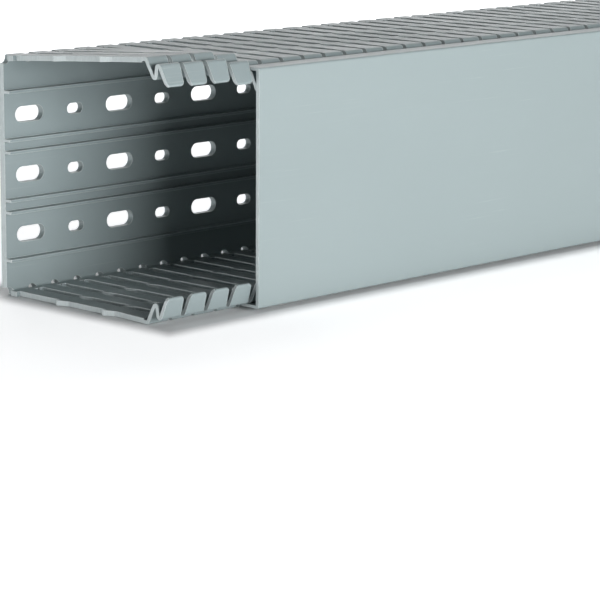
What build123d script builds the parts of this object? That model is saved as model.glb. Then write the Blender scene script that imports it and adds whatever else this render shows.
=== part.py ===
# Slotted wire duct, 100 x 100 mm: a comb-walled trough and the clip-on cover that
# closes it. It lies on its side as in the picture, with the cover pushed along it
# so that the first four fingers of each wall are bare. The bare upper fingers are
# sprung outward, and the lower ones lie flat on the floor.
# X runs along the duct away from the bare cut end, Y points to the mounting side, Z is
# up. The origin is on the floor under the middle of the whole.
# The section points below are (depth, height): depth is measured forward from the
# mounting face, height from the middle of the duct.
import os
from math import atan2, degrees, hypot

from build123d import *

os.makedirs("parts", exist_ok=True)

# overall sizes
duct_length = 1000.0
duct_width = 100.0
duct_depth = 100.0
half_width = duct_width / 2

# trough walls
base_thickness = 3.0
wall_thickness = 2.2
tip_thickness = 1.6
outer_corner_radius = 0.8
inner_corner_radius = 1.0

# rails standing on the inside of the base
rail_heights = (10.0, 15.0, 35.0)
rail_thickness = 1.2
rail_reach = 3.5

# comb of slots between the fingers
finger_pitch = 12.5
first_slot_x = 1.0
slot_width = 5.0
root_notch_reach = 3.5
neck_depth = 7.5
barb_gap = 0.8
barb_depths = (32.5, 60.4)
barb_ramps = (5.2, 5.0)
taper_depth = 70.0
tip_depth = 85.0
tip_gap = 2.2
flange_gap = 3.7
flange_corner_cut = 1.4

# bare upper fingers, each bent outward at its root by its own angle
bend_angles = (4.1, 3.9, 3.8, 2.7)
bend_depth = 6.0
bend_overlap = 0.5

# fixing holes in the base
hole_rows = (-25.0, 0.0, 25.0)
hole_period = 4 * finger_pitch
first_hole_x = first_slot_x + finger_pitch
long_hole_length = 15.0
long_hole_width = 6.5
short_hole_length = 8.5
short_hole_width = 4.5

# cover
slide_clearance = 0.3
cover_thickness = 1.7
lip_thickness = 1.2
cover_setback = 50.5
cover_corner_radius = 0.8
nose_thickness = 1.3
nose_reach = 1.9
nose_clearance = 1.0

# corners of the middle line of the bent finger tip, before its bends are rounded
tip_radius = tip_thickness / 2
tip_bend_radius = 0.9
trough_depth = duct_depth - cover_thickness - slide_clearance
wall_end_point = (tip_depth - 1.0, half_width - tip_radius)
rim_point = (86.5, half_width - tip_radius)
groove_point = (90.4, 40.2)
hook_point = (93.0, 48.35)
flange_point = (96.4, 38.9)
tip_points = (wall_end_point, rim_point, groove_point, hook_point, flange_point)
flange_end = flange_point[1] - tip_radius
with BuildLine() as tip_line:
    FilletPolyline(*[(-depth, height) for depth, height in tip_points], radius=tip_bend_radius)
hook_bend = tip_line.edges().filter_by(GeomType.CIRCLE).sort_by(Axis.X)[0]
hook_top = hook_bend.bounding_box().max.Y + tip_radius

# sizes that follow from the ones above
cover_half = hook_top + slide_clearance + lip_thickness
nose_radius = nose_thickness / 2
nose_depth = hook_point[0] - tip_radius - nose_clearance - nose_radius
nose_root = (nose_depth, cover_half - nose_radius)
nose_end = (nose_depth, cover_half - lip_thickness - nose_reach + nose_radius)
slot_count = round(duct_length / finger_pitch) + 1
slot_xs = [first_slot_x + finger_pitch * n for n in range(slot_count)]
bare_count = len(bend_angles)
bare_length = slot_xs[bare_count]
hole_count = round(duct_length / hole_period)
long_hole_xs = [first_hole_x + hole_period * n for n in range(hole_count)]
short_hole_xs = [x + hole_period / 2 for x in long_hole_xs]
margin = 1.0

# drawing planes through the middle of the mounting face at the bare cut end
end_centre = (-(duct_length + cover_setback) / 2, duct_depth / 2, half_width)
section_plane = Plane(origin=end_centre, x_dir=(0, 1, 0), z_dir=(1, 0, 0))
side_plane = Plane(origin=end_centre, x_dir=(1, 0, 0), z_dir=(0, 0, 1))
front_plane = Plane(origin=end_centre, x_dir=(1, 0, 0), z_dir=(0, -1, 0))

# half width of a finger slot at each depth: the narrow neck at its root, where a finger
# is broken off, and the barbs that keep the wires in
slot_edge = [
    (barb_gap / 2, -base_thickness),
    (barb_gap / 2, -neck_depth),
    (slot_width / 2, -neck_depth),
]
for barb_depth, barb_ramp in zip(barb_depths, barb_ramps):
    slot_edge.append((slot_width / 2, -barb_depth))
    slot_edge.append((barb_gap / 2, -barb_depth))
    slot_edge.append((slot_width / 2, -barb_depth - barb_ramp))
slot_edge.append((slot_width / 2, -taper_depth))
slot_edge.append((tip_gap / 2, -tip_depth))

# gap between two finger tips, seen from the front, for the upper wall
tip_edge = [
    (tip_gap / 2, half_width + margin),
    (tip_gap / 2, hook_top - tip_radius),
    (flange_gap / 2, flange_end + flange_corner_cut),
    (flange_gap / 2 + flange_corner_cut, flange_end - margin / 2),
]


def bar(start, end, thickness):
    """Round-ended strip of a section between two (depth, height) points."""
    run = start[0] - end[0]
    rise = end[1] - start[1]
    middle = (-(start[0] + end[0]) / 2, (start[1] + end[1]) / 2)
    with Locations(middle):
        SlotCenterToCenter(hypot(run, rise), thickness, rotation=degrees(atan2(rise, run)))


def finger_section(root_depth):
    """Section of the upper wall from a depth to its bent tip."""
    with Locations((-root_depth, half_width)):
        wall_run = wall_end_point[0] - root_depth
        Rectangle(wall_run, wall_thickness, align=(Align.MAX, Align.MAX))
    trace(tip_line.edges(), tip_thickness)
    with Locations((-flange_point[0], flange_point[1])):
        Circle(tip_radius)


def both_sides(right_points):
    """Closed outline from its right-hand points and their mirror images."""
    return list(right_points) + [(-x, y) for x, y in reversed(right_points)]


def cut_finger_slots(side, centres):
    """Slots through one wall, from the base to the tips, open at the bare cut end."""
    inside = half_width - wall_thickness - inner_corner_radius
    with BuildSketch(side_plane.offset(side * inside)) as wall_slots:
        with Locations([(x, 0) for x in centres]):
            Polygon(*both_sides(slot_edge), align=None)
        with Locations((first_slot_x, -base_thickness)):
            Rectangle(first_slot_x + margin, duct_depth, align=(Align.MAX, Align.MAX))
    slot_height = side * (half_width + margin - inside)
    extrude(wall_slots.sketch, amount=slot_height, mode=Mode.SUBTRACT)

    with BuildSketch(front_plane.offset(tip_depth)) as tip_gaps:
        with Locations([(x, 0) for x in centres]):
            tip_outline = [(x, side * z) for x, z in both_sides(tip_edge)]
            Polygon(*tip_outline, align=None)
        with Locations((first_slot_x, side * (half_width + flange_end) / 2)):
            end_height = half_width - flange_end + 2 * margin
            Rectangle(first_slot_x + margin, end_height, align=(Align.MAX, Align.CENTER))
    gap_depth = trough_depth - tip_depth + margin
    extrude(tip_gaps.sketch, amount=gap_depth, mode=Mode.SUBTRACT)


def nearest_corner(sketch, depth, height):
    """Corner of a section closest to a (depth, height) point."""
    return sketch.vertices().sort_by(lambda v: v.distance_to((-depth, height, 0)))[0]


with BuildPart() as bare_fingers:
    with BuildSketch(section_plane):
        finger_section(bend_depth - bend_overlap)
    extrude(amount=bare_length)
    cut_finger_slots(1, slot_xs[: bare_count + 1])

with BuildPart() as trough:
    with BuildSketch(section_plane) as half_section:
        Rectangle(base_thickness, half_width, align=(Align.MAX, Align.MIN))
        with Locations((0, half_width)):
            Rectangle(bend_depth, wall_thickness, align=(Align.MAX, Align.MAX))
        fillet(nearest_corner(half_section, 0, half_width), outer_corner_radius)
        wall_inside = half_width - wall_thickness
        fillet(nearest_corner(half_section, base_thickness, wall_inside), inner_corner_radius)
        for rail_height in rail_heights:
            with Locations((-base_thickness, rail_height)):
                Rectangle(rail_reach, rail_thickness, align=(Align.MAX, Align.CENTER))
        mirror(about=Plane.XZ)
    extrude(amount=duct_length)
    with BuildSketch(section_plane):
        finger_section(bend_depth)
        mirror(about=Plane.XZ, mode=Mode.REPLACE)
    extrude(amount=duct_length)
    with BuildSketch(section_plane.offset(bare_length)):
        finger_section(bend_depth)
    extrude(amount=duct_length - bare_length)

    for side in (1, -1):
        cut_finger_slots(side, slot_xs)
        notch_z = half_width - root_notch_reach + slot_width / 2
        with BuildSketch(front_plane.offset(-margin)):
            with Locations([(x, side * notch_z) for x in slot_xs]):
                Circle(slot_width / 2)
                with Locations((0, side * slot_width / 4)):
                    Rectangle(slot_width, slot_width / 2)
        extrude(amount=margin + base_thickness + inner_corner_radius, mode=Mode.SUBTRACT)

    with BuildSketch(front_plane.offset(-margin)):
        with Locations([(x, z) for x in long_hole_xs for z in hole_rows]):
            SlotOverall(long_hole_length, long_hole_width)
        with Locations([(x, z) for x in short_hole_xs for z in hole_rows]):
            SlotOverall(short_hole_length, short_hole_width)
    extrude(amount=base_thickness + 2 * margin, mode=Mode.SUBTRACT)

    bend_line = Axis(
        section_plane.from_local_coords((-bend_depth, half_width - wall_thickness / 2, 0)),
        (-1, 0, 0),
    )
    for finger, angle in zip(bare_fingers.solids().sort_by(Axis.X), bend_angles):
        add(finger.rotate(bend_line, angle))

with BuildPart() as cover:
    with BuildSketch(section_plane.offset(cover_setback)) as cover_section:
        with Locations((-duct_depth, 0)):
            Rectangle(cover_thickness, cover_half, align=(Align.MIN, Align.MIN))
        with Locations((-duct_depth, cover_half)):
            Rectangle(duct_depth - nose_depth, lip_thickness, align=(Align.MIN, Align.MAX))
        fillet(nearest_corner(cover_section, duct_depth, cover_half), cover_corner_radius)
        bar(nose_root, nose_end, nose_thickness)
        mirror(about=Plane.XZ)
    extrude(amount=duct_length)

trough.part.label = "slotted_trough"
export_step(trough.part, "parts/slotted_trough.step", write_pcurves=False)

cover.part.label = "clip_on_cover"
export_step(cover.part, "parts/clip_on_cover.step", write_pcurves=False)
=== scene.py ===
# %% [markdown]
# # A slotted wire duct, dressed for the studio
#
# The real thing is a length of grey PVC wire duct lying on its side: a trough whose two
# walls are cut into fingers, and a flat cover that clips over the finger tips. The cover
# is pushed along the trough, so the first four fingers of each wall are bare.
#
# Both pieces come to us as finished solids, and every edge, slot and hole is already
# right. What is left for this lesson is how they look: where the eye stands, what the
# plastic is like close up, and how the studio lights it.

# %% Load the frame
from math import degrees, radians

import bpy
import numpy as np
from mathutils import Matrix, Vector


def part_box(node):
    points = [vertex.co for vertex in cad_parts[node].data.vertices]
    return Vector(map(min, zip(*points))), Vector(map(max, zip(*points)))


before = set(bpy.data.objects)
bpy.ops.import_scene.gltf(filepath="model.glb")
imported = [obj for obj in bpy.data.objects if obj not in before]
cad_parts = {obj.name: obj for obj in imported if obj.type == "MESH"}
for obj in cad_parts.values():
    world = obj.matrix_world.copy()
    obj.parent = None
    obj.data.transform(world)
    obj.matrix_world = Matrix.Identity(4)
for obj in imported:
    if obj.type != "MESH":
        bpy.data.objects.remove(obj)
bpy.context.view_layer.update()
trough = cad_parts["slotted_trough"]
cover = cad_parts["clip_on_cover"]
trough_low, trough_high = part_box("slotted_trough")
cover_low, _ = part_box("clip_on_cover")
base_thickness = 0.003
base_front_y = trough_high.y - base_thickness
print("loaded", sorted(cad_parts), "bare end at x =", round(trough_low.x, 4))

# %% [markdown]
# ## The eye
#
# The picture was taken from the bare end, a little above the duct and to its left. A
# camera can be placed by trial, or worked out from points whose real places are known.
# The fixing holes stand on a regular grid, so here the camera was solved from them: its
# place, how far it turns from the mounting side, how far it looks down, and its lens.
# The result is written down as plain numbers, which is easier to read and to change than
# a solver in the script.

# %% Place the camera
camera_place = Vector((-1.232211, -0.801650, 0.219050))
turned_right = radians(46.1133)
looks_down = radians(11.3379)
rolled = radians(0.2914)
picture_width = 600
focal_pixels = 2699.24
film_width = 36.0
nearest_seen, farthest_seen = 0.05, 50.0

camera_data = bpy.data.cameras.new("duct camera")
camera_data.sensor_width = film_width
camera_data.lens = focal_pixels / picture_width * film_width
camera_data.clip_start = nearest_seen
camera_data.clip_end = farthest_seen
camera = bpy.data.objects.new("duct camera", camera_data)
bpy.context.scene.collection.objects.link(camera)
level = Matrix.Rotation(-turned_right, 4, "Z")
tilt = Matrix.Rotation(radians(90) - looks_down, 4, "X")
roll = Matrix.Rotation(rolled, 4, "Z")
camera.matrix_world = Matrix.Translation(camera_place) @ level @ tilt @ roll
bpy.context.scene.camera = camera
print("camera: lens", round(camera_data.lens, 1), "mm, looking down", round(degrees(looks_down), 1))


# %% [markdown]
# ## The floor
#
# A studio floor is a roll of pale paper that runs out flat and then curves up behind the
# object, so that no corner shows. It could be a plane and a wall, but the line between
# them would be seen. A profile carried along a straight path gives the whole sweep in one
# surface: the profile is a flat run, a quarter circle and an upright, and the path is the
# width of the roll.

# %% A profile carried along a straight path
def swept_surface(name, profile, path):
    """Grid surface: point (i, j) is profile point i moved by path point j.

    profile is an (m, 3) array and path an (n, 3) array, so the grid is their sum taken
    over every pair, and each square of the grid becomes one face.
    """
    points = profile[:, None, :] + path[None, :, :]
    rows, columns = points.shape[:2]
    index = np.arange(rows * columns).reshape(rows, columns)
    corners = (index[:-1, :-1], index[:-1, 1:], index[1:, 1:], index[1:, :-1])
    faces = np.stack(corners, axis=-1).reshape(-1, 4)
    mesh = bpy.data.meshes.new(name)
    mesh.from_pydata(points.reshape(-1, 3), [], faces.tolist())
    mesh.shade_smooth()
    made = bpy.data.objects.new(name, mesh)
    bpy.context.scene.collection.objects.link(made)
    print(name, "has", len(faces), "faces")
    return made


# %% Lay the paper
paper_drop = 0.0002
paper_half_width = 6.0
near_edge, curve_start, curve_radius, upright = -3.0, 3.2, 1.2, 2.0
flat_points, bend_points, width_points = 12, 25, 9

bend = np.linspace(0.0, np.pi / 2, bend_points)
along = np.concatenate((
    np.linspace(near_edge, curve_start, flat_points),
    curve_start + curve_radius * np.sin(bend[1:]),
    [curve_start + curve_radius],
))
height = np.concatenate((
    np.zeros(flat_points),
    curve_radius * (1 - np.cos(bend[1:])),
    [curve_radius + upright],
))
ahead = np.array((np.sin(turned_right), np.cos(turned_right), 0.0))
across = np.array((np.cos(turned_right), -np.sin(turned_right), 0.0))
paper_profile = along[:, None] * ahead + height[:, None] * np.array((0.0, 0.0, 1.0))
paper_profile[:, 2] -= paper_drop
paper_path = np.linspace(-paper_half_width, paper_half_width, width_points)[:, None] * across
paper = swept_surface("paper sweep", paper_profile, paper_path)


# %% [markdown]
# ## Small tools for nodes
#
# A material is a tree of nodes, and adding them one by one takes three or four lines
# each. Most of ours are sums, smooth steps, noises and blends of two colours, so each of
# these gets a helper that adds the node, sets it, joins it up and hands back its output.
# An input can be a number or another node's output, which lets the calls be nested the
# way a formula is.

# %% Helpers for sums and steps
def math_node(tree, operation, first, second=None, clamp=False):
    """Math node in a tree. Each input is a number or the socket that feeds it."""
    node = tree.nodes.new("ShaderNodeMath")
    node.operation = operation
    node.use_clamp = clamp
    for socket, value in zip(node.inputs, (first, second)):
        if isinstance(value, (int, float)):
            socket.default_value = value
        elif value is not None:
            tree.links.new(value, socket)
    return node.outputs[0]


def times(tree, first, second):
    """Product of two inputs."""
    return math_node(tree, "MULTIPLY", first, second)


def left_over(tree, share):
    """What is left of one when a share is taken away."""
    return math_node(tree, "SUBTRACT", 1.0, share)


def step_node(tree, value, low, high, to_low=0.0, to_high=1.0):
    """Smooth step of a value from low to high, given out between to_low and to_high."""
    node = tree.nodes.new("ShaderNodeMapRange")
    node.interpolation_type = "SMOOTHSTEP"
    node.inputs["From Min"].default_value = low
    node.inputs["From Max"].default_value = high
    node.inputs["To Min"].default_value = to_low
    node.inputs["To Max"].default_value = to_high
    tree.links.new(value, node.inputs["Value"])
    return node.outputs["Result"]


# %% Helpers for places, noises and colours
def parts_of(tree, vector):
    """The X, Y and Z of a vector, each as an output of its own."""
    node = tree.nodes.new("ShaderNodeSeparateXYZ")
    tree.links.new(vector, node.inputs[0])
    return node.outputs


def noise_node(tree, where, scale=1.0, detail=2.0, roughness=0.5, stretch=None):
    """Noise read at a place, as one grey value about 0.5.

    stretch multiplies the place axis by axis first. A small factor draws the pattern out
    along that axis.
    """
    if stretch is not None:
        stretched = tree.nodes.new("ShaderNodeVectorMath")
        stretched.operation = "MULTIPLY"
        stretched.inputs[1].default_value = stretch
        tree.links.new(where, stretched.inputs[0])
        where = stretched.outputs[0]
    node = tree.nodes.new("ShaderNodeTexNoise")
    node.inputs["Scale"].default_value = scale
    node.inputs["Detail"].default_value = detail
    node.inputs["Roughness"].default_value = roughness
    tree.links.new(where, node.inputs["Vector"])
    return node.outputs["Fac"]


def mix_colour(tree, factor, first, second):
    """Colour between two, by a factor. Each colour is four numbers or a socket."""
    node = tree.nodes.new("ShaderNodeMix")
    node.data_type = "RGBA"
    tree.links.new(factor, node.inputs["Factor"])
    for label, colour in (("A", first), ("B", second)):
        if isinstance(colour, tuple):
            node.inputs[label].default_value = colour
        else:
            tree.links.new(colour, node.inputs[label])
    return node.outputs["Result"]


# %% [markdown]
# ## Paper that glows
#
# Catalogue pictures get their white ground from paper that is lit on its own, often from
# below. Here the paper glows a little by itself, so it is clean white in the picture and
# shows as white through the fixing holes. Right under the duct it would do harm: it would
# shine up through the slots and light them from inside, where the real ones are dark. So
# the glow is masked. How far a point lies outside the duct's footprint is the larger of
# two distances, past its ends and past its sides, and the glow fades in over the first
# 15 mm of it. The paper left unlit round the footprint is a painted shade, darker than the
# glowing white beyond. On the mounting side this painted shade reaches 13 mm past the
# base, so the notches at the foot of the base show dark paper through them.

# %% Paint the paper
paper_roughness = 0.9
cloud_scale = 3.0
cloud_grey = (0.87, 0.875, 0.88, 1.0)
cloud_pale = (0.90, 0.905, 0.91, 1.0)
glow_strength = 0.62
glow_fade = 0.015
glow_none = (0.0, 0.0, 0.0, 1.0)
glow_full = (0.98, 0.99, 1.0, 1.0)
mask_inset = 0.002
painted_shade_past_tips = 0.0013
painted_shade_past_base = 0.013

paper_white = bpy.data.materials.new("studio paper")
paper_white.use_nodes = True
paper_tree = paper_white.node_tree
paper_shader = paper_tree.nodes["Principled BSDF"]
paper_shader.inputs["Roughness"].default_value = paper_roughness
paper_shader.inputs["Emission Strength"].default_value = glow_strength
paper_place = paper_tree.nodes.new("ShaderNodeTexCoord").outputs["Object"]

paper_cloud = noise_node(paper_tree, paper_place, cloud_scale)
paper_tint = mix_colour(paper_tree, paper_cloud, cloud_grey, cloud_pale)
paper_tree.links.new(paper_tint, paper_shader.inputs["Base Color"])


def past_limits(value, low, high):
    """How far a value lies outside two limits. It is negative between them."""
    off_middle = math_node(paper_tree, "SUBTRACT", value, (low + high) / 2)
    from_middle = math_node(paper_tree, "ABSOLUTE", off_middle)
    return math_node(paper_tree, "SUBTRACT", from_middle, (high - low) / 2)


paper_parts = parts_of(paper_tree, paper_place)
# Painted shade: within these limits the paper does not glow, so it stays darker than the white round
# it.
mask_low_x, mask_high_x = trough_low.x + mask_inset, trough_high.x - mask_inset
mask_low_y, mask_high_y = trough_low.y - painted_shade_past_tips, trough_high.y + painted_shade_past_base
past_ends = past_limits(paper_parts["X"], mask_low_x, mask_high_x)
past_sides = past_limits(paper_parts["Y"], mask_low_y, mask_high_y)
outside = math_node(paper_tree, "MAXIMUM", past_ends, past_sides)
lit = step_node(paper_tree, outside, 0.0, glow_fade)
glow = mix_colour(paper_tree, lit, glow_none, glow_full)
paper_tree.links.new(glow, paper_shader.inputs["Emission Color"])
paper.data.materials.append(paper_white)
print("material", paper_white.name, "has", len(paper_tree.nodes), "nodes")


# %% [markdown]
# ## What the plastic shows
#
# Rigid PVC duct is extruded, so its long faces carry very fine lines that run along the
# duct, and its satin shine varies a little from place to place. The slots and holes are
# punched and the end is sawn afterwards, and a cut face is paler and rougher than a skin
# that slid through a die. Edges catch the light, because no real edge is perfectly sharp,
# and a painted highlight makes them paler still.
#
# Each of these effects is a node group, built once, with a few inputs. Both pieces use
# all of them with their own values. A group keeps the two materials alike where they
# should be alike, and it keeps the node trees short enough to read.

# %% Start a node group
FLOAT = "NodeSocketFloat"
VECTOR = "NodeSocketVector"


def new_group(name, inputs, outputs):
    """Shader node group with float or vector sockets, and its two end nodes.

    inputs is a list of (name, socket kind, default) and outputs of (name, socket kind).
    """
    group = bpy.data.node_groups.new(name, "ShaderNodeTree")
    for label, kind, default in inputs:
        socket = group.interface.new_socket(label, in_out="INPUT", socket_type=kind)
        if default is not None:
            socket.default_value = default
    for label, kind in outputs:
        group.interface.new_socket(label, in_out="OUTPUT", socket_type=kind)
    entry = group.nodes.new("NodeGroupInput")
    leave = group.nodes.new("NodeGroupOutput")
    return group, entry.outputs, leave.inputs


# %% [markdown]
# ### Cut faces
#
# How can a material know which faces were cut? The skin of an extrusion never faces along
# the duct, so any face whose normal has an X part was punched or sawn. That one number is
# the mask, and it needs no painting. The face right at the bare end is the sawn one, which
# the X coordinate tells, and it gets a saw's marks in place of a punch's.
#
# The walls of the fixing holes are punched too, but they get painted shade, so they are
# nearly as dark as the skin round them. They lie within the base's thickness, which the Y
# coordinate tells, and there only a share of the paler tone is kept.

# %% Group: cut faces
def cut_faces_group():
    """Masks of cut and punched faces, with painted shade in the fixing holes, and the marks that the
    tools left on them.
    """
    cut_from, cut_full = 0.08, 0.3
    sawn_depth, sawn_end = 0.0002, 0.0006
    base_blend = 0.0002
    shear_stretch = (900.0, 2600.0, 260.0)
    saw_stretch = (1.0, 2400.0, 420.0)

    group, given, result = new_group(
        "Cut faces",
        [("Place", VECTOR, None), ("Sawn end X", FLOAT, trough_low.x), ("Hole tone in shade", FLOAT, 0.2)],
        [("Cut", FLOAT), ("Tool marks", FLOAT)],
    )
    geometry = group.nodes.new("ShaderNodeNewGeometry")
    normal = parts_of(group, geometry.outputs["True Normal"])
    place = parts_of(group, given["Place"])
    all_cuts = step_node(group, math_node(group, "ABSOLUTE", normal["X"]), cut_from, cut_full)

    from_end = math_node(group, "SUBTRACT", place["X"], given["Sawn end X"])
    end_distance = math_node(group, "ABSOLUTE", from_end)
    near_end = step_node(group, end_distance, sawn_depth, sawn_end, 1.0, 0.0)
    # Painted shade in the fixing holes: their punched walls keep only a share of the paler cut tone.
    in_base = step_node(group, place["Y"], base_front_y - base_blend, base_front_y)
    in_hole = times(group, in_base, left_over(group, near_end))
    hole_painted_shade = times(group, in_hole, left_over(group, given["Hole tone in shade"]))
    group.links.new(times(group, all_cuts, left_over(group, hole_painted_shade)), result["Cut"])

    marks = group.nodes.new("ShaderNodeMix")
    shear_lines = noise_node(group, given["Place"], stretch=shear_stretch)
    saw_lines = noise_node(group, given["Place"], detail=3.0, stretch=saw_stretch)
    group.links.new(times(group, all_cuts, near_end), marks.inputs["Factor"])
    group.links.new(shear_lines, marks.inputs["A"])
    group.links.new(saw_lines, marks.inputs["B"])
    group.links.new(marks.outputs["Result"], result["Tool marks"])
    return group


cut_group = cut_faces_group()
print("group", cut_group.name, "has", len(cut_group.nodes), "nodes")


# %% [markdown]
# ### Soft edges
#
# A Bevel modifier would round every edge in the mesh, at the cost of very many faces. The
# Bevel node does it in the shading alone: it looks round each point within a radius and
# gives the normal that a rounded edge would have. Where that normal leaves the flat one
# there is an edge, and this gives a second use: a mask for a painted highlight, the pale
# line painted along every edge.

# %% Group: soft edges
def soft_edges_group():
    """Normal of slightly rounded edges, and a mask that is one on an edge, for the painted highlight.
    """
    edge_full, edge_none = 0.80, 0.995
    edge_samples = 4

    group, given, result = new_group(
        "Soft edges",
        [("Radius", FLOAT, 0.0004)],
        [("Normal", VECTOR), ("Edge highlight", FLOAT)],
    )
    rounded = group.nodes.new("ShaderNodeBevel")
    rounded.samples = edge_samples
    group.links.new(given["Radius"], rounded.inputs["Radius"])
    geometry = group.nodes.new("ShaderNodeNewGeometry")
    agreement = group.nodes.new("ShaderNodeVectorMath")
    agreement.operation = "DOT_PRODUCT"
    group.links.new(rounded.outputs["Normal"], agreement.inputs[0])
    group.links.new(geometry.outputs["Normal"], agreement.inputs[1])
    # The edge mask sets where the painted highlight goes.
    edge = step_node(group, agreement.outputs["Value"], edge_full, edge_none, 1.0, 0.0)
    group.links.new(rounded.outputs["Normal"], result["Normal"])
    group.links.new(edge, result["Edge highlight"])
    return group


edge_group = soft_edges_group()
print("group", edge_group.name, "has", len(edge_group.nodes), "nodes")


# %% [markdown]
# ### Extrusion lines and clouding
#
# The die leaves lines along the duct, so their noise is stretched a hundred times along
# X. Two sizes are mixed, because real die lines come as a few broad bands and many fine
# ones. Clouding is the slow change of shine and colour over a hand's width, from the
# plastic cooling unevenly.

# %% Group: extruded skin
def extruded_skin_group():
    """Lines of the die, slow clouding and fine grain of the plastic's skin."""
    broad_stretch, broad_share = (1.5, 160.0, 160.0), 0.6
    fine_stretch, fine_share = (6.0, 1400.0, 1400.0), 0.4
    cloud_stretch = (9.0, 26.0, 26.0)
    grain_scale = 2600.0

    group, given, result = new_group(
        "Extruded skin",
        [("Place", VECTOR, None)],
        [("Lines", FLOAT), ("Clouding", FLOAT), ("Grain", FLOAT)],
    )
    where = given["Place"]
    broad = times(group, noise_node(group, where, stretch=broad_stretch), broad_share)
    fine = times(group, noise_node(group, where, stretch=fine_stretch), fine_share)
    clouds = noise_node(group, where, detail=3.0, roughness=0.6, stretch=cloud_stretch)
    grain = noise_node(group, where, grain_scale, roughness=0.6)
    group.links.new(math_node(group, "ADD", broad, fine), result["Lines"])
    group.links.new(clouds, result["Clouding"])
    group.links.new(grain, result["Grain"])
    return group


skin_group = extruded_skin_group()
print("group", skin_group.name, "has", len(skin_group.nodes), "nodes")


# %% [markdown]
# ### Handling marks and dust
#
# Long stock is slid in and out of racks, so it has a few faint scuffs, mostly along its
# length, and a little dust lies on what faces up. Both are kept weak: the duct is new.

# %% Group: handling
def handling_marks_group():
    """Masks of lengthwise scuffs and of dust on the faces that look up."""
    scuff_stretch, scuff_from, scuff_full = (16.0, 900.0, 900.0), 0.58, 0.72
    patch_stretch, patch_from, patch_full = (14.0, 34.0, 34.0), 0.5, 0.66
    level_from, level_full = 0.5, 0.95
    speck_scale, speck_from, speck_full = 520.0, 0.45, 0.75

    group, given, result = new_group(
        "Handling",
        [("Place", VECTOR, None)],
        [("Scuffs", FLOAT), ("Dust", FLOAT)],
    )
    where = given["Place"]
    lines = noise_node(group, where, detail=4.0, roughness=0.6, stretch=scuff_stretch)
    patches = noise_node(group, where, stretch=patch_stretch)
    scuffs = times(group, step_node(group, lines, scuff_from, scuff_full),
                   step_node(group, patches, patch_from, patch_full))
    geometry = group.nodes.new("ShaderNodeNewGeometry")
    normal = parts_of(group, geometry.outputs["True Normal"])
    faces_up = step_node(group, normal["Z"], level_from, level_full)
    specks = noise_node(group, where, speck_scale, detail=4.0, roughness=0.7)
    dust = times(group, faces_up, step_node(group, specks, speck_from, speck_full))
    group.links.new(scuffs, result["Scuffs"])
    group.links.new(dust, result["Dust"])
    return group


handling_group = handling_marks_group()
print("group", handling_group.name, "has", len(handling_group.nodes), "nodes")


# %% [markdown]
# ## The two materials
#
# The trough and the cover are the same grey PVC from two different dies. The helpers
# below wire the four groups into one Principled shader, in three steps. The masks move
# the colour from the skin's grey towards the paler grey of cut plastic and the palest of
# all, the painted highlight on the edges; in the fixing holes they keep painted shade.
# They also change the roughness. The lines and grain go to a Bump node whose normal
# starts from the soft edges. Only values differ between the two pieces.

# %% Colour, roughness and relief of the duct plastic
def place_group(tree, group, **values):
    """Outputs of a group put in a material and fed with its Object coordinates."""
    node = tree.nodes.new("ShaderNodeGroup")
    node.node_tree = group
    if "Place" in node.inputs:
        tree.links.new(tree.nodes["where"].outputs["Object"], node.inputs["Place"])
    for label, value in values.items():
        node.inputs[label.replace("_", " ")].default_value = value
    return node.outputs


def plastic_colour(tree, surface, cuts, edges, worn, tones):
    """Colour from the skin's tones, paler where it is cut or worn, with a painted highlight at edges.
    """
    line_share = 0.5
    highlight_share = 0.7
    mark_from, mark_full, least_mark = 0.2, 0.7, 0.6

    clouded = mix_colour(tree, surface["Clouding"], tones["skin"], tones["cloud"])
    lined = mix_colour(tree, times(tree, surface["Lines"], line_share), clouded, tones["skin"])
    marked = step_node(tree, cuts["Tool marks"], mark_from, mark_full, least_mark, 1.0)
    paled = mix_colour(tree, times(tree, cuts["Cut"], marked), lined, tones["cut"])
    # Painted highlight: edges are paled towards the highlight tone.
    highlighted = mix_colour(tree, times(tree, edges["Edge highlight"], highlight_share), paled, tones["edge highlight"])
    return mix_colour(tree, worn, highlighted, tones["cut"])


def plastic_roughness(tree, surface, cuts, worn, shine):
    """Roughness that clouds a little, and rises where the plastic is cut or worn."""
    shine_spread = 0.08
    cloud_from, cloud_full = 0.3, 0.7
    cut_share, worn_share = 0.16, 0.6

    skin = step_node(tree, surface["Clouding"], cloud_from, cloud_full, shine, shine + shine_spread)
    added = math_node(tree, "ADD", times(tree, cuts["Cut"], cut_share), times(tree, worn, worn_share))
    return math_node(tree, "ADD", skin, added, clamp=True)


def plastic_relief(tree, surface, cuts):
    """Height of the die lines and grain on the skin, and of the tool marks on a cut."""
    grain_share = 0.12
    mark_share = 2.0

    grain = times(tree, surface["Grain"], grain_share)
    skin = math_node(tree, "ADD", surface["Lines"], grain)
    on_skin = times(tree, skin, left_over(tree, cuts["Cut"]))
    on_cut = times(tree, cuts["Tool marks"], times(tree, cuts["Cut"], mark_share))
    return math_node(tree, "ADD", on_skin, on_cut)


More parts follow.
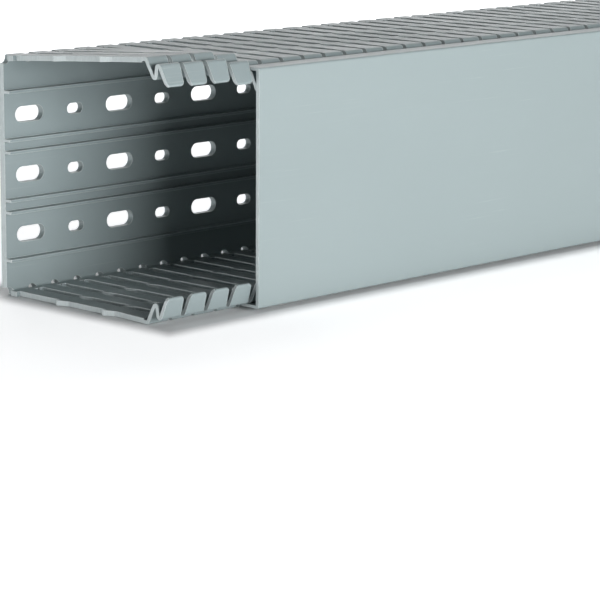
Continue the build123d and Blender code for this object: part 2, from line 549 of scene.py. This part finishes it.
# %% Wire a duct material
def duct_plastic(name, tones, shine, end_x, edge_radius, line_depth):
    """Grey PVC with an extruded skin, paler cut faces with painted shade in the fixing holes, soft
    edges with a painted highlight, scuffs and dust.
    """
    pvc_refraction = 1.53
    scuff_share, dust_share = 0.20, 0.10
    relief_strength = 0.5

    material = bpy.data.materials.new(name)
    material.use_nodes = True
    tree = material.node_tree
    shader = tree.nodes["Principled BSDF"]
    shader.inputs["IOR"].default_value = pvc_refraction
    tree.nodes.new("ShaderNodeTexCoord").name = "where"

    cuts = place_group(tree, cut_group, Sawn_end_X=end_x)
    edges = place_group(tree, edge_group, Radius=edge_radius)
    surface = place_group(tree, skin_group)
    handled = place_group(tree, handling_group)
    scuffs = times(tree, handled["Scuffs"], scuff_share)
    dust = times(tree, handled["Dust"], dust_share)
    worn = math_node(tree, "ADD", scuffs, dust, clamp=True)

    bump = tree.nodes.new("ShaderNodeBump")
    bump.inputs["Strength"].default_value = relief_strength
    bump.inputs["Distance"].default_value = line_depth
    tree.links.new(plastic_relief(tree, surface, cuts), bump.inputs["Height"])
    tree.links.new(edges["Normal"], bump.inputs["Normal"])

    colour = plastic_colour(tree, surface, cuts, edges, worn, tones)
    tree.links.new(colour, shader.inputs["Base Color"])
    tree.links.new(plastic_roughness(tree, surface, cuts, worn, shine), shader.inputs["Roughness"])
    tree.links.new(bump.outputs["Normal"], shader.inputs["Normal"])
    print("material", name, "has", len(tree.nodes), "nodes")
    return material


# %% Dress the trough and the cover
cut_tone = (0.45, 0.50, 0.505, 1.0)
# Colour of the painted edge highlight.
edge_highlight_tone = (0.78, 0.83, 0.835, 1.0)
trough_tones = {
    "skin": (0.235, 0.285, 0.292, 1.0),
    "cloud": (0.255, 0.306, 0.313, 1.0),
    "cut": cut_tone,
    "edge highlight": edge_highlight_tone,
}
cover_tones = {
    "skin": (0.250, 0.303, 0.308, 1.0),
    "cloud": (0.268, 0.322, 0.328, 1.0),
    "cut": cut_tone,
    "edge highlight": edge_highlight_tone,
}
trough_plastic = duct_plastic(
    "trough PVC",
    trough_tones,
    shine=0.36,
    end_x=trough_low.x,
    edge_radius=0.00045,
    line_depth=0.00004,
)
cover_plastic = duct_plastic(
    "cover PVC",
    cover_tones,
    shine=0.33,
    end_x=cover_low.x,
    edge_radius=0.0005,
    line_depth=0.00003,
)
for node, plastic in ((trough, trough_plastic), (cover, cover_plastic)):
    for holder in node.material_slots:
        holder.link = "OBJECT"
        holder.material = plastic
    print(node.name, "wears", plastic.name, "in", len(node.material_slots), "slot")


# %% [markdown]
# ## Studio light
#
# Each light has one job. The front window makes the cover's face bright and even. It also
# reaches into the trough past the cover's end, and because it is wide, the inside fades
# slowly from light at the bare end to shade under the cover. The left window stands low,
# a little past the mounting side of the duct, so it picks out the sawn end and the cut
# faces of the fingers but leaves the inside of the base alone. The ceiling is weak and
# gives the upper faces a little light of their own. The background light whitens the
# paper far behind, and the duct's upper wall, seen at a low angle, mirrors some of it.
#
# The pale world fills what is left, and it is weak, so that the shade stays deep. Colours
# are shown as they are, without a film curve, because the picture's white is pure white.

# %% Hang the lights
def soft_box(name, place, target, width, height, power):
    """Rectangular area light at a place, turned to a target."""
    data = bpy.data.lights.new(name, "AREA")
    data.shape = "RECTANGLE"
    data.size = width
    data.size_y = height
    data.energy = power
    lamp = bpy.data.objects.new(name, data)
    bpy.context.scene.collection.objects.link(lamp)
    direction = Vector(target) - Vector(place)
    turn = direction.to_track_quat("-Z", "Y").to_matrix().to_4x4()
    lamp.matrix_world = Matrix.Translation(Vector(place)) @ turn
    print(name, "stands", round(direction.length, 2), "m away with", power, "W")


bare_end = (-0.5, 0.0, 0.05)
cover_front = (-0.35, -0.05, 0.05)
far_floor = (1.8, 2.2, 0.0)
soft_box("front window", (-0.5, -1.05, 0.19), cover_front, width=0.8, height=0.34, power=12.0)
soft_box("left window", (-2.6, 0.12, 0.12), bare_end, width=0.8, height=0.22, power=20.0)
soft_box("ceiling", (-0.2, 0.2, 2.6), bare_end, width=2.0, height=2.0, power=2.6)
soft_box("background light", (0.9, 1.1, 2.0), far_floor, width=1.6, height=0.8, power=60.0)

# %% Fill with a pale world, and show colours as they are
world_tone = (0.97, 0.985, 1.0, 1.0)
world_strength = 0.04

air = bpy.data.worlds.new("studio air")
air.use_nodes = True
sky = air.node_tree.nodes["Background"]
sky.inputs["Color"].default_value = world_tone
sky.inputs["Strength"].default_value = world_strength
bpy.context.scene.world = air
bpy.context.scene.view_settings.view_transform = "Standard"
print("world strength", world_strength)
